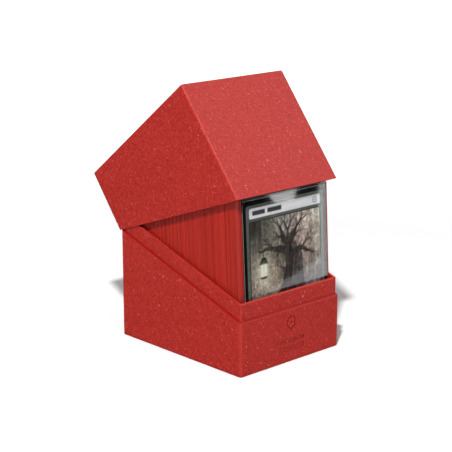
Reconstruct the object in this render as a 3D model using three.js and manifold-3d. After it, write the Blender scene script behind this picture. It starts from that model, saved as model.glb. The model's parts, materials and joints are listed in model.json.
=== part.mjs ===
// Card deck box: a moulded base tray with a slanted shoulder and lip, a moulded
// lid that tips back on the rear of that shoulder, and a deck of sleeved cards.
// Millimetres, +Z up. The origin is the centre of the underside of the base.
// +X runs right along the front face, the front faces -Y.
import * as THREE from 'three';
import { mergeVertices } from 'three/addons/utils/BufferGeometryUtils.js';
import Module from 'manifold-3d';

// ---- driving dimensions ----
const WIDTH = 76;              // outside, along X
const DEPTH = 98.1;            // outside, along Y
const HEIGHT = 100.3;          // outside, with the lid closed
const SHOULDER_FRONT = 30;     // height of the shoulder at the front face
const SHOULDER_REAR = 62.65;   // height of the shoulder at the rear face
const LIP_RISE = 9.7;          // how far the lip stands above the shoulder
const LID_WALL = 1;            // lid wall thickness
const LID_TOP = 1.4;           // lid top thickness
const FIT = 0.15;              // gap between the lip and the inside of the lid
const LIP_WALL = 1.2;          // lip wall thickness
const FLOOR = 3.4;             // base floor thickness
const SEAT_GAP = 0.3;          // gap between the lid rim and the shoulder
const CORNER = 1.5;            // radius of the upright outside corners
const EDGE = 0.5;              // chamfer on the outside edges
const RIM_EDGE = 0.3;          // chamfer on the shoulder edge and the lid rim

const SLEEVE_W = 66;           // outer sleeve width
const SLEEVE_H = 90.9;         // height of a 91 mm sleeve as it leans
const PACKET_CARDS = 3;        // sleeved cards in one packet
const CARD_PITCH = 0.66;       // thickness of one double-sleeved card
const PACKETS = 43;            // packets behind the front card
const PACKET_GAP = 0.03;       // air between two packets
const PACKET_X = -3.2;         // the packets stand this far left of the front card
const FOOT_GAP = 0.02;         // air under the deck
const DECK_X = 1.6;            // the deck stands this far right of the middle of the bay
const DECK_FRONT = -46.5;      // front face of the deck at floor level
const DECK_TOP_FRONT = -41.6;  // front face of the deck at its top

const LID_ANGLE = 38.08;       // how far the lid is tipped back, degrees
const PIVOT_Y = 48.1;          // the line that the lid tips about
const PIVOT_Z = 59.7;

const SLOPE = (SHOULDER_REAR - SHOULDER_FRONT) / DEPTH;
const LIP_INSET = LID_WALL + FIT;
const ARC = 4;                 // steps in each rounded corner

const wasm = await Module();
wasm.setup();

const MATERIALS = {
  case: new THREE.MeshStandardMaterial({ color: 0xb02a26, roughness: 0.55, metalness: 0 }),
  lid: new THREE.MeshStandardMaterial({ color: 0xbe302c, roughness: 0.55, metalness: 0 }),
  sleeve: new THREE.MeshStandardMaterial({ color: 0xa52320, roughness: 0.35, metalness: 0 }),
  clear: new THREE.MeshStandardMaterial({ color: 0xd8dadc, roughness: 0.1, metalness: 0, transparent: true, opacity: 0.35 }),
  card: new THREE.MeshStandardMaterial({ color: 0x24282a, roughness: 0.4, metalness: 0 }),
};

const object = new THREE.Group();
const add = (parent, name, geometry, material) => {
  const mesh = new THREE.Mesh(geometry, material);
  mesh.name = name;
  parent.add(mesh);
  return mesh;
};

// ---- shape helpers ----
// A rounded rectangle as points, counter-clockwise seen from above.
function outline(hx, hy, r) {
  const points = [];
  const centres = [[hx - r, hy - r], [-hx + r, hy - r], [-hx + r, -hy + r], [hx - r, -hy + r]];
  centres.forEach(([cx, cy], k) => {
    for (let i = 0; i <= ARC; i++) {
      const a = (k + i / ARC) * Math.PI / 2;
      points.push([cx + r * Math.cos(a), cy + r * Math.sin(a)]);
    }
  });
  return points;
}

// One closed skin through a list of rings. Each ring is a rounded rectangle
// whose height is either level or follows the slanted shoulder. The first and
// last rings are closed with flat fans.
function skin(rings) {
  const n = 4 * (ARC + 1);
  const position = [];
  const index = [];
  for (const { hx, hy, r, z, slant = 0 } of rings) {
    for (const [x, y] of outline(hx, hy, r)) position.push(x, y, z + slant * (y + DEPTH / 2));
  }
  for (let k = 0; k + 1 < rings.length; k++) {
    for (let i = 0; i < n; i++) {
      const a = k * n + i, b = k * n + (i + 1) % n;
      index.push(a, b, b + n, a, b + n, a + n);
    }
  }
  for (const [k, flip] of [[0, true], [rings.length - 1, false]]) {
    const { z, slant = 0 } = rings[k];
    const centre = position.length / 3;
    position.push(0, 0, z + slant * DEPTH / 2);
    for (let i = 0; i < n; i++) {
      const a = k * n + i, b = k * n + (i + 1) % n;
      if (flip) index.push(centre, b, a); else index.push(centre, a, b);
    }
  }
  const geometry = new THREE.BufferGeometry();
  geometry.setAttribute('position', new THREE.Float32BufferAttribute(position, 3));
  geometry.setIndex(index);
  return geometry;
}

function toSolid(geometry) {
  const g = geometry.clone();
  for (const name of ['normal', 'uv']) if (g.getAttribute(name)) g.deleteAttribute(name);
  const merged = mergeVertices(g, 1e-5);
  return new wasm.Manifold(new wasm.Mesh({
    numProp: 3,
    vertProperties: new Float32Array(merged.getAttribute('position').array),
    triVerts: new Uint32Array(merged.index.array),
  }));
}

function toGeometry(solid) {
  const { vertProperties, triVerts } = solid.getMesh();
  const geometry = new THREE.BufferGeometry();
  geometry.setAttribute('position', new THREE.Float32BufferAttribute(vertProperties, 3));
  geometry.setIndex(new THREE.BufferAttribute(new Uint32Array(triVerts), 1));
  return geometry;
}

const block = (x0, x1, y0, y1, z0, z1) => new THREE.BoxGeometry(x1 - x0, y1 - y0, z1 - z0)
  .translate((x0 + x1) / 2, (y0 + y1) / 2, (z0 + z1) / 2);

// A flat outline in X and Z pushed along Y from y0 to y1.
function plate(shape, y0, y1, segments = 4) {
  return new THREE.ExtrudeGeometry(shape, { depth: y1 - y0, bevelEnabled: false, curveSegments: segments })
    .rotateX(Math.PI / 2).translate(0, y1, 0);
}

function roundedShape(x0, x1, z0, z1, r) {
  const s = new THREE.Shape();
  s.moveTo(x0 + r, z0);
  s.lineTo(x1 - r, z0);
  s.absarc(x1 - r, z0 + r, r, -Math.PI / 2, 0, false);
  s.lineTo(x1, z1 - r);
  s.absarc(x1 - r, z1 - r, r, 0, Math.PI / 2, false);
  s.lineTo(x0 + r, z1);
  s.absarc(x0 + r, z1 - r, r, Math.PI / 2, Math.PI, false);
  s.lineTo(x0, z0 + r);
  s.absarc(x0 + r, z0 + r, r, Math.PI, 1.5 * Math.PI, false);
  return s;
}

// ---- base: tray, slanted shoulder and lip in one moulding ----
const hx = WIDTH / 2, hy = DEPTH / 2;
const lipX = hx - LIP_INSET, lipY = hy - LIP_INSET;
const bayX = lipX - LIP_WALL, bayY = lipY - LIP_WALL;
const lipR = CORNER - LIP_INSET + 0.25;
let base = toSolid(skin([
  { hx: hx - EDGE, hy: hy - EDGE, r: CORNER - EDGE / 2, z: 0 },
  { hx, hy, r: CORNER, z: EDGE },
  { hx, hy, r: CORNER, z: SHOULDER_FRONT - RIM_EDGE, slant: SLOPE },
  { hx: hx - RIM_EDGE, hy: hy - RIM_EDGE, r: CORNER - RIM_EDGE / 2, z: SHOULDER_FRONT, slant: SLOPE },
  { hx: lipX, hy: lipY, r: lipR, z: SHOULDER_FRONT, slant: SLOPE },
  { hx: lipX, hy: lipY, r: lipR, z: SHOULDER_FRONT + LIP_RISE - 0.25, slant: SLOPE },
  { hx: lipX - 0.25, hy: lipY - 0.25, r: lipR, z: SHOULDER_FRONT + LIP_RISE, slant: SLOPE },
  { hx: bayX + 0.25, hy: bayY + 0.25, r: lipR, z: SHOULDER_FRONT + LIP_RISE, slant: SLOPE },
  { hx: bayX, hy: bayY, r: lipR, z: SHOULDER_FRONT + LIP_RISE - 0.25, slant: SLOPE },
  { hx: bayX, hy: bayY, r: lipR, z: FLOOR },
]));

// Shallow recesses pressed into the front face: a ring of six sides and two bars.
const MARK_DEPTH = 0.6;
const hexagon = (r) => {
  const s = new THREE.Shape();
  for (let i = 0; i < 6; i++) {
    const a = Math.PI / 6 + i * Math.PI / 3;
    s[i ? 'lineTo' : 'moveTo'](r * Math.cos(a), 22.5 + 1.25 * r * Math.sin(a));
  }
  s.closePath();
  return s;
};
const ring = hexagon(3.6);
ring.holes.push(hexagon(2.7));
for (const cut of [
  plate(ring, -hy - 1, -hy + MARK_DEPTH),
  plate(hexagon(1), -hy - 1, -hy + MARK_DEPTH),
  plate(roundedShape(-10.2, 10.2, 11.2, 13.6, 0.5), -hy - 1, -hy + MARK_DEPTH),
  plate(roundedShape(-10.2, 10.2, 6.4, 9.2, 0.5), -hy - 1, -hy + MARK_DEPTH),
]) base = base.subtract(toSolid(cut));
add(object, 'base_box', toGeometry(base), MATERIALS.case);

// ---- lid: a cap, drawn closed, then tipped back about the pivot line ----
const capX = hx - LID_WALL, capY = hy - LID_WALL;
const capR = CORNER - LID_WALL;
const rim = SHOULDER_FRONT + SEAT_GAP;
const lid = skin([
  { hx: capX, hy: capY, r: capR, z: HEIGHT - LID_TOP },
  { hx: capX, hy: capY, r: capR, z: rim + RIM_EDGE / 2, slant: SLOPE },
  { hx: capX + RIM_EDGE / 2, hy: capY + RIM_EDGE / 2, r: capR, z: rim, slant: SLOPE },
  { hx: hx - RIM_EDGE, hy: hy - RIM_EDGE, r: CORNER - RIM_EDGE / 2, z: rim, slant: SLOPE },
  { hx, hy, r: CORNER, z: rim + RIM_EDGE, slant: SLOPE },
  { hx, hy, r: CORNER, z: HEIGHT - EDGE },
  { hx: hx - EDGE, hy: hy - EDGE, r: CORNER - EDGE / 2, z: HEIGHT },
]);
const lidPivot = new THREE.Group();
lidPivot.position.set(0, PIVOT_Y, PIVOT_Z);
lidPivot.rotation.x = -LID_ANGLE * Math.PI / 180;
object.add(lidPivot);
add(lidPivot, 'lid_cap', toGeometry(toSolid(lid)).translate(0, -PIVOT_Y, -PIVOT_Z), MATERIALS.lid);

// ---- deck: leaning back, its foot on the floor ----
const lean = (DECK_TOP_FRONT - DECK_FRONT) / SLEEVE_H;
// Leans a solid drawn upright with its foot at z = 0, and stands it on the floor.
const stand = (geometry, y, x = 0) => {
  const shear = new THREE.Matrix4().set(1, 0, 0, DECK_X + x, 0, 1, lean, y, 0, 0, 1, FLOOR + FOOT_GAP, 0, 0, 0, 1);
  return geometry.applyMatrix4(shear);
};

// The front card: a printed card in a clear inner sleeve that opens downwards,
// in an outer sleeve that opens upwards, with a clear front and a coloured back.
const half = SLEEVE_W / 2;
const OUTER_T = 0.72, OUTER_FILM = 0.08, OUTER_SEAM = 0.7;
const outer = toSolid(plate(roundedShape(-half, half, 0, SLEEVE_H, 0.6), 0, OUTER_T))
  .subtract(toSolid(block(-half + OUTER_SEAM, half - OUTER_SEAM, OUTER_FILM, OUTER_T - OUTER_FILM, OUTER_SEAM, SLEEVE_H + 1)));
add(object, 'front_outer_sleeve', stand(toGeometry(outer), DECK_FRONT), MATERIALS.clear);

const INNER_W = 64, INNER_Z0 = 0.9, INNER_Z1 = 90, INNER_FILM = 0.06, INNER_SEAM = 0.4;
const innerY0 = OUTER_FILM + 0.03, innerY1 = OUTER_T - OUTER_FILM - 0.03;
const inner = toSolid(plate(roundedShape(-INNER_W / 2, INNER_W / 2, INNER_Z0, INNER_Z1, 0.6), innerY0, innerY1))
  .subtract(toSolid(block(-INNER_W / 2 + INNER_SEAM, INNER_W / 2 - INNER_SEAM,
    innerY0 + INNER_FILM, innerY1 - INNER_FILM, INNER_Z0 - 1, INNER_Z1 - INNER_SEAM)));
add(object, 'front_inner_sleeve', stand(toGeometry(inner), DECK_FRONT), MATERIALS.clear);

const CARD_W = 63, CARD_H = 88, CARD_Z0 = 1.5;
add(object, 'front_card', stand(plate(
  roundedShape(-CARD_W / 2, CARD_W / 2, CARD_Z0, CARD_Z0 + CARD_H, 3),
  innerY0 + INNER_FILM + 0.03, innerY1 - INNER_FILM - 0.03), DECK_FRONT), MATERIALS.card);

// Behind it, packets of three sleeved cards, each a little out of line.
const packetT = PACKET_CARDS * CARD_PITCH;
for (let i = 0; i < PACKETS; i++) {
  const y = DECK_FRONT + OUTER_T + PACKET_GAP + i * (packetT + PACKET_GAP);
  const x = PACKET_X + 0.16 * Math.sin(2.399 * i + 0.7);
  const drop = 0.12 * (0.5 + 0.5 * Math.sin(1.7 * i));
  const name = 'deck_packet_' + String(i + 1).padStart(2, '0');
  add(object, name, stand(plate(roundedShape(-half, half, 0, SLEEVE_H - drop, 0.6), 0, packetT, 2), y, x), MATERIALS.sleeve);
}

export default object;
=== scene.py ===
"""Card deck box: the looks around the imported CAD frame. Lengths in the helpers are millimetres in the row frame."""
import json
import math

import bpy
import bmesh
import numpy as np
from mathutils import Matrix, Vector


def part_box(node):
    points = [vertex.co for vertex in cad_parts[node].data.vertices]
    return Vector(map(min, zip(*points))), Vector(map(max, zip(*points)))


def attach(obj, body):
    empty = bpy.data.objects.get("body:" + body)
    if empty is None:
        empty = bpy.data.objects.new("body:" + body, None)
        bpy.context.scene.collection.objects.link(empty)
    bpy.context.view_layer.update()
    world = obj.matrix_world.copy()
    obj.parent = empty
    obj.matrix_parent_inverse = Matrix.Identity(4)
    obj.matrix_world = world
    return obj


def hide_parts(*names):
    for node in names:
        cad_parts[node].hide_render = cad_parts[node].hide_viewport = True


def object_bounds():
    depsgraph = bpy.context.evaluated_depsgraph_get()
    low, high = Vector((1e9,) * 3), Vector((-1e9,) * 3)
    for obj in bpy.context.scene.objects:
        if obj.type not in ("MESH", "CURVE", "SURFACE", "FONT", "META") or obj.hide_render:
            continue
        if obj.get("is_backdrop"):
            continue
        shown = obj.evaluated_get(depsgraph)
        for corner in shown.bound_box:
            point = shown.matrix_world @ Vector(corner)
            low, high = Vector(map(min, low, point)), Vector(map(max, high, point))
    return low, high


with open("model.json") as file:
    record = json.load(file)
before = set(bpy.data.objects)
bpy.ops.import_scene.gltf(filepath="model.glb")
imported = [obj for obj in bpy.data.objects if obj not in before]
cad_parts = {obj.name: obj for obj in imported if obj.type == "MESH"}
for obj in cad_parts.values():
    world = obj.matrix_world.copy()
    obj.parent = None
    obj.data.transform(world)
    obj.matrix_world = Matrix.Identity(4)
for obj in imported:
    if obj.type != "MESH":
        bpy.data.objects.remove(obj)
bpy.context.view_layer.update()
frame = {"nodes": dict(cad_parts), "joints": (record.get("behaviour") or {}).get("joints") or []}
MM = 0.001

# ------------------------------------------------------------------ camera
scene = bpy.context.scene
CAM = Vector((-0.51150, -0.54132, 0.26312))
LOOK = Vector((0.6625, 0.7045, -0.2545)).normalized()
cam_data = bpy.data.cameras.new("camera")
cam_data.lens = 109.62
cam_data.sensor_width = 36
cam_data.clip_start, cam_data.clip_end = 0.01, 80
cam = bpy.data.objects.new("camera", cam_data)
cam.location = CAM
cam.rotation_mode = "QUATERNION"
cam.rotation_quaternion = LOOK.to_track_quat("-Z", "Y")
scene.collection.objects.link(cam)
scene.camera = cam
scene.view_settings.view_transform = "Standard"
scene.view_settings.look = "None"

# ------------------------------------------------------------------ sizes, from the frame
base_lo, base_hi = [Vector(v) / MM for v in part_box("base_box")]
HX, HY = base_hi.x, base_hi.y
SHOULDER_FRONT, SHOULDER_REAR = 30.0, 62.65
SLOPE = (SHOULDER_REAR - SHOULDER_FRONT) / (2 * HY)
HEIGHT, LID_WALL, LID_TOP, FIT, LIP_WALL = 100.3, 1.0, 1.4, 0.15, 1.2
LIP_INSET = LID_WALL + FIT
LIP_RISE, FLOOR, SEAT_GAP, CORNER = 9.7, 3.4, 0.3, 1.5
MARK_DEPTH = 0.6
tip = next(j for j in frame["joints"] if j["name"] == "lid_tip")
PIVOT = Vector(tip["pos_m"]) / MM
LID_ANGLE = -tip["range_deg"][0]
sl_lo, sl_hi = [Vector(v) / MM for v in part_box("front_outer_sleeve")]
FRONT_T = 0.72
SLEEVE_W = sl_hi.x - sl_lo.x
SLEEVE_H = sl_hi.z - sl_lo.z
DECK_X = (sl_hi.x + sl_lo.x) / 2
FOOT = sl_lo.z
LEAN = (sl_hi.y - sl_lo.y - FRONT_T) / SLEEVE_H
DECK_Y = sl_lo.y
PACKETS = sorted(n for n in frame["nodes"] if n.startswith("deck_packet_"))


# ------------------------------------------------------------------ mesh helpers
ARC = 8
SUPPORT = 0.7


def rrect(hx, hy, r):
    """A rounded rectangle, counter-clockwise, with a support point on the flat each side of every corner. The same number of points whatever its size."""
    pts = []
    for k, (sx, sy) in enumerate([(1, 1), (-1, 1), (-1, -1), (1, -1)]):
        cx, cy = sx * (hx - r), sy * (hy - r)
        a = k * math.pi / 2
        pts.append((cx + r * math.cos(a) + SUPPORT * math.sin(a), cy + r * math.sin(a) - SUPPORT * math.cos(a)))
        for i in range(ARC + 1):
            a = (k + i / ARC) * math.pi / 2
            pts.append((cx + r * math.cos(a), cy + r * math.sin(a)))
        pts.append((cx + r * math.cos(a) - SUPPORT * math.sin(a), cy + r * math.sin(a) + SUPPORT * math.cos(a)))
    return pts


RING = 4 * (ARC + 3)
# painted highlight along the rounded upright corners: for each point of a ring, how much paler it is made, most at the
# middle of each corner
CORNER_HIGHLIGHT = ([0.0] + [0.35 + 0.65 * math.sin(math.pi * i / ARC) for i in range(ARC + 1)] + [0.0]) * 4


def skin(rings):
    """Closed skin through (hx, hy, r, z, slant, edge) rings. edge, 0 to 1, says how much of an edge the ring is, which
    is painted paler as a highlight, and below 0 how much painted shade it gets.
    """
    verts, faces, edge = [], [], []
    for hx, hy, r, z, slant, e in rings:
        verts += [(x, y, z + slant * (y + HY)) for x, y in rrect(hx, hy, max(r, 0.05))]
        edge += [e if e < 0 else max(e, c) for c in CORNER_HIGHLIGHT]
    for k in range(len(rings) - 1):
        for i in range(RING):
            a, b = k * RING + i, k * RING + (i + 1) % RING
            faces.append((a, b, b + RING, a + RING))
    faces.append(tuple(reversed(range(RING))))
    faces.append(tuple(range((len(rings) - 1) * RING, len(rings) * RING)))
    return verts, faces, edge


def fillet(steps, a0=0.0, a1=90.0):
    return [math.radians(a0 + (a1 - a0) * i / steps) for i in range(steps + 1)]


def new_object(name, verts, faces, mats=(), face_mats=None, smooth=True, point_data=None):
    mesh = bpy.data.meshes.new(name)
    mesh.from_pydata([(x * MM, y * MM, z * MM) for x, y, z in verts], [], faces)
    mesh.update()
    o = bpy.data.objects.new(name, mesh)
    scene.collection.objects.link(o)
    for m in mats:
        mesh.materials.append(m)
    if face_mats is not None:
        mesh.polygons.foreach_set("material_index", face_mats)
    if smooth:
        mesh.polygons.foreach_set("use_smooth", [True] * len(mesh.polygons))
    for key, values in (point_data or {}).items():
        mesh.attributes.new(key, "FLOAT", "POINT").data.foreach_set("value", values)
    return o


def weighted(o):
    """Smooth shading that keeps broad faces flat and creases over 35 degrees sharp."""
    o.data.set_sharp_from_angle(angle=math.radians(35))
    w = o.modifiers.new("weighted", "WEIGHTED_NORMAL")
    w.mode, w.weight, w.keep_sharp = "FACE_AREA", 100, True


def apply_modifiers(o):
    dg = bpy.context.evaluated_depsgraph_get()
    mesh = bpy.data.meshes.new_from_object(o.evaluated_get(dg), depsgraph=dg)
    old, name = o.data, o.data.name
    o.modifiers.clear()
    o.data = mesh
    bpy.data.meshes.remove(old)
    mesh.name = name


# ------------------------------------------------------------------ node helpers
def material(name):
    m = bpy.data.materials.new(name)
    m.use_nodes = True
    nt = m.node_tree
    bsdf = next(n for n in nt.nodes if n.type == "BSDF_PRINCIPLED")
    return m, nt, bsdf


def node(nt, kind, inputs=None, **props):
    n = nt.nodes.new(kind)
    for k, v in props.items():
        setattr(n, k, v)
    for k, v in (inputs or {}).items():
        plug(nt, v, n.inputs[k])
    return n


def plug(nt, value, socket):
    if isinstance(value, bpy.types.NodeSocket):
        nt.links.new(value, socket)
    else:
        socket.default_value = value


def sums(nt, op, a, b=0.0, clamp=False):
    n = node(nt, "ShaderNodeMath", operation=op, use_clamp=clamp)
    plug(nt, a, n.inputs[0])
    plug(nt, b, n.inputs[1])
    return n.outputs[0]


def mix(nt, fac, a, b, blend="MIX"):
    n = node(nt, "ShaderNodeMix", data_type="RGBA", blend_type=blend)
    plug(nt, fac, n.inputs[0])
    plug(nt, a, n.inputs[6])
    plug(nt, b, n.inputs[7])
    return n.outputs[2]


def ramp(nt, value, a, b, lo=0.0, hi=1.0):
    """Smooth step of value from a to b, giving lo to hi."""
    n = node(nt, "ShaderNodeMapRange", interpolation_type="SMOOTHSTEP")
    for k, v in enumerate((value, a, b, lo, hi)):
        plug(nt, v, n.inputs[k])
    return n.outputs[0]


def place(nt, coord, scale, turn=(0, 0, 0), shift=(0, 0, 0)):
    """Coordinates turned first, then shifted and scaled, so that stretched patterns lie along the turned axes."""
    first = node(nt, "ShaderNodeMapping", {"Vector": coord, "Rotation": tuple(math.radians(a) for a in turn)})
    second = node(nt, "ShaderNodeMapping", {"Vector": first.outputs[0], "Scale": tuple(scale), "Location": tuple(shift)})
    return second.outputs[0]


def noise(nt, coord, size, detail=2.0, rough=0.5):
    """Noise of a given size in millimetres, about 0.5."""
    return node(nt, "ShaderNodeTexNoise", {"Vector": coord, "Scale": 1.0 / size, "Detail": detail, "Roughness": rough}).outputs[0]


def millimetres(nt):
    tc = node(nt, "ShaderNodeTexCoord")
    return node(nt, "ShaderNodeMapping", {"Vector": tc.outputs["Object"], "Scale": (1000, 1000, 1000)}).outputs[0]


def flecks(nt, coord, cell, radius, stretch=1.0, turn=(0, 0, 0), shift=(0, 0, 0), keep=1.0):
    """Scattered specks in the solid, cut by its surface: how much of a speck is here, and a number that differs from speck to speck."""
    v = place(nt, coord, (1 / cell, 1 / cell, 1 / (cell * stretch)), turn, shift)
    vor = node(nt, "ShaderNodeTexVoronoi", {"Vector": v, "Scale": 1.0, "Randomness": 0.95})
    parts = node(nt, "ShaderNodeSeparateColor", {"Color": vor.outputs["Color"]})
    size = sums(nt, "MULTIPLY", sums(nt, "ADD", sums(nt, "MULTIPLY", parts.outputs[0], 0.9), 0.55), radius / cell)
    mask = ramp(nt, vor.outputs["Distance"], size, sums(nt, "MULTIPLY", size, 0.45))
    if keep < 1:
        mask = sums(nt, "MULTIPLY", mask, sums(nt, "LESS_THAN", parts.outputs[1], keep))
    return mask, parts.outputs[2]


def srgb(r, g, b):
    return tuple(((c / 255 / 12.92) if c <= 10 else ((c / 255 + 0.055) / 1.055) ** 2.4) for c in (r, g, b)) + (1.0,)


# ------------------------------------------------------------------ materials
def case_plastic():
    """Matt red moulding compound, mottled, with pale plant fibres and specks all through it, with a painted highlight
    that makes it a little paler along its edges and corners, and painted shade that makes its shoulder ledge and bottom
    edge darker.
    """
    m, nt, b = material("case_plastic")
    mm = millimetres(nt)
    cloud = noise(nt, mm, 18, 3)
    mottle = sums(nt, "MULTIPLY", ramp(nt, noise(nt, mm, 1.25, 2), 0.30, 0.70), 0.56)
    mottle = sums(nt, "ADD", mottle, sums(nt, "MULTIPLY", ramp(nt, noise(nt, mm, 0.62, 1), 0.28, 0.72), 0.34))
    mottle = sums(nt, "ADD", mottle, sums(nt, "MULTIPLY", cloud, 0.12))
    colour = mix(nt, mottle, (0.277, 0.0028, 0.0010, 1), (0.448, 0.0215, 0.0125, 1))
    dark, seed = flecks(nt, mm, 2.1, 0.50, 1.3, (20, 50, 10), (7, 3, 1), 0.65)
    colour = mix(nt, sums(nt, "MULTIPLY", dark, sums(nt, "MULTIPLY", seed, 0.75)), colour, (0.17, 0.003, 0.002, 1))
    height = dark
    for cell, radius, stretch, turn, shift, keep, strong, tint in (
        (1.5, 0.36, 1.0, (0, 0, 0), (0, 0, 0), 0.85, 0.24, (0.88, 0.150, 0.125, 1)),
        (1.9, 0.40, 1.4, (35, 10, 70), (3, 5, 9), 0.8, 0.36, (0.88, 0.180, 0.150, 1)),
        (1.6, 0.24, 3.2, (15, 78, 25), (11, 2, 4), 0.8, 0.46, (0.92, 0.230, 0.190, 1)),
        (1.6, 0.23, 3.4, (82, 12, 0), (5, 13, 8), 0.8, 0.46, (0.92, 0.220, 0.185, 1)),
        (1.7, 0.25, 2.8, (40, 40, 110), (17, 1, 6), 0.8, 0.48, (0.90, 0.240, 0.185, 1)),
        (3.0, 0.48, 1.7, (60, 25, 140), (2, 19, 3), 0.6, 0.40, (0.88, 0.260, 0.210, 1)),
    ):
        mask, seed = flecks(nt, mm, cell, radius, stretch, turn, shift, keep)
        power = sums(nt, "MULTIPLY", sums(nt, "POWER", seed, 1.6), strong)
        amount = sums(nt, "MULTIPLY", mask, power)
        colour = mix(nt, amount, colour, tint)
        height = sums(nt, "ADD", height, amount)
    edge = node(nt, "ShaderNodeAttribute", attribute_name="edge").outputs["Fac"]
    # painted highlight: edge rings and rounded corners are made paler, broken up by noise, where light would catch them
    edge_highlight = sums(nt, "MULTIPLY", sums(nt, "MULTIPLY", sums(nt, "MAXIMUM", edge, 0.0), ramp(nt, noise(nt, mm, 2.4, 3), 0.25, 0.65, 0.55, 1.0)), 0.10)
    colour = mix(nt, edge_highlight, colour, (0.75, 0.09, 0.065, 1))
    # painted shade: where the edge value is below 0, on the shoulder ledge and the underside of the bottom edge, the
    # red is made darker
    painted_shade = sums(nt, "MULTIPLY", sums(nt, "MAXIMUM", sums(nt, "MULTIPLY", edge, -1.0), 0.0), 0.95)
    colour = mix(nt, painted_shade, colour, (0.295, 0.0030, 0.0012, 1))
    nt.links.new(colour, b.inputs["Base Color"])
    rough = sums(nt, "ADD", sums(nt, "MULTIPLY", noise(nt, mm, 0.5, 2), 0.14), sums(nt, "MULTIPLY", height, 0.05))
    nt.links.new(sums(nt, "ADD", rough, 0.43), b.inputs["Roughness"])
    b.inputs["Specular IOR Level"].default_value = 0.28
    relief = sums(nt, "ADD", sums(nt, "MULTIPLY", noise(nt, mm, 0.34, 2), 0.7), sums(nt, "MULTIPLY", noise(nt, mm, 1.4, 2), 0.6))
    relief = sums(nt, "ADD", relief, sums(nt, "MULTIPLY", height, 0.35))
    bump = node(nt, "ShaderNodeBump", {"Height": relief, "Strength": 0.5, "Distance": 0.00003})
    nt.links.new(bump.outputs[0], b.inputs["Normal"])
    return m


def red_film():
    """The coloured film of the sleeves: each one a little different, with faint lengthwise streaks and a fine grain."""
    m, nt, b = material("sleeve_red")
    mm = millimetres(nt)
    tone = node(nt, "ShaderNodeAttribute", attribute_name="tone").outputs["Fac"]
    streak = noise(nt, place(nt, mm, (1 / 0.9, 1 / 0.5, 1 / 34)), 1.0, 3, 0.6)
    grain = noise(nt, mm, 0.35, 2)
    amount = sums(nt, "MULTIPLY", tone, sums(nt, "ADD", sums(nt, "MULTIPLY", streak, 0.17), sums(nt, "ADD", sums(nt, "MULTIPLY", grain, 0.08), 0.875)))
    grey = node(nt, "ShaderNodeCombineColor", {"Red": amount, "Green": amount, "Blue": amount}).outputs[0]
    nt.links.new(mix(nt, 1.0, (0.383, 0.0140, 0.0062, 1), grey, "MULTIPLY"), b.inputs["Base Color"])
    nt.links.new(sums(nt, "ADD", sums(nt, "MULTIPLY", streak, 0.2), 0.34), b.inputs["Roughness"])
    bump = node(nt, "ShaderNodeBump", {"Height": sums(nt, "ADD", streak, sums(nt, "MULTIPLY", grain, 0.3)), "Strength": 0.4, "Distance": 0.00004})
    nt.links.new(bump.outputs[0], b.inputs["Normal"])
    return m


def clear_film(name, mirror, wave):
    """Thin clear film: what is behind it shows, with a gloss that grows at a slant, faint haze and slow waves."""
    m, nt, b = material(name)
    nt.nodes.remove(b)
    mm = millimetres(nt)
    waves = noise(nt, place(nt, mm, (1 / 21, 1 / 21, 1 / 30)), 1.0, 1)
    fine = noise(nt, mm, 0.6, 2)
    bump = node(nt, "ShaderNodeBump", {"Height": waves, "Strength": wave, "Distance": 0.0002})
    facing = node(nt, "ShaderNodeLayerWeight", {"Blend": 0.5, "Normal": bump.outputs[0]}).outputs["Facing"]
    slant = sums(nt, "ADD", sums(nt, "MULTIPLY", sums(nt, "POWER", facing, 5.0), 0.96), 0.04)
    share = sums(nt, "MULTIPLY", slant, sums(nt, "ADD", sums(nt, "MULTIPLY", fine, 0.16), mirror - 0.08))
    gloss = node(nt, "ShaderNodeBsdfGlossy", {"Color": (1, 1, 1, 1), "Normal": bump.outputs[0]})
    nt.links.new(sums(nt, "ADD", sums(nt, "MULTIPLY", fine, 0.01), 0.042), gloss.inputs["Roughness"])
    through = node(nt, "ShaderNodeBsdfTransparent", {"Color": (0.99, 0.99, 0.99, 1)})
    both = node(nt, "ShaderNodeMixShader")
    nt.links.new(share, both.inputs[0])
    nt.links.new(through.outputs[0], both.inputs[1])
    nt.links.new(gloss.outputs[0], both.inputs[2])
    out = next(n for n in nt.nodes if n.type == "OUTPUT_MATERIAL")
    nt.links.new(both.outputs[0], out.inputs["Surface"])
    return m


def inside_film():
    """The black inner face of the coloured film."""
    m, nt, b = material("sleeve_inside")
    mm = millimetres(nt)
    grain = noise(nt, mm, 0.5, 2)
    nt.links.new(mix(nt, grain, (0.010, 0.011, 0.011, 1), (0.022, 0.023, 0.024, 1)), b.inputs["Base Color"])
    nt.links.new(sums(nt, "ADD", sums(nt, "MULTIPLY", grain, 0.2), 0.35), b.inputs["Roughness"])
    return m


def film_edge():
    """The cut edge of clear film: milky, streaked along the cut."""
    m, nt, b = material("film_edge")
    mm = millimetres(nt)
    streak = noise(nt, place(nt, mm, (1 / 3.0, 1 / 0.1, 1 / 0.6)), 1.0, 2)
    nt.links.new(mix(nt, streak, srgb(206, 176, 176), srgb(150, 128, 130)), b.inputs["Base Color"])
    nt.links.new(sums(nt, "ADD", sums(nt, "MULTIPLY", streak, 0.3), 0.15), b.inputs["Roughness"])
    return m


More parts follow.
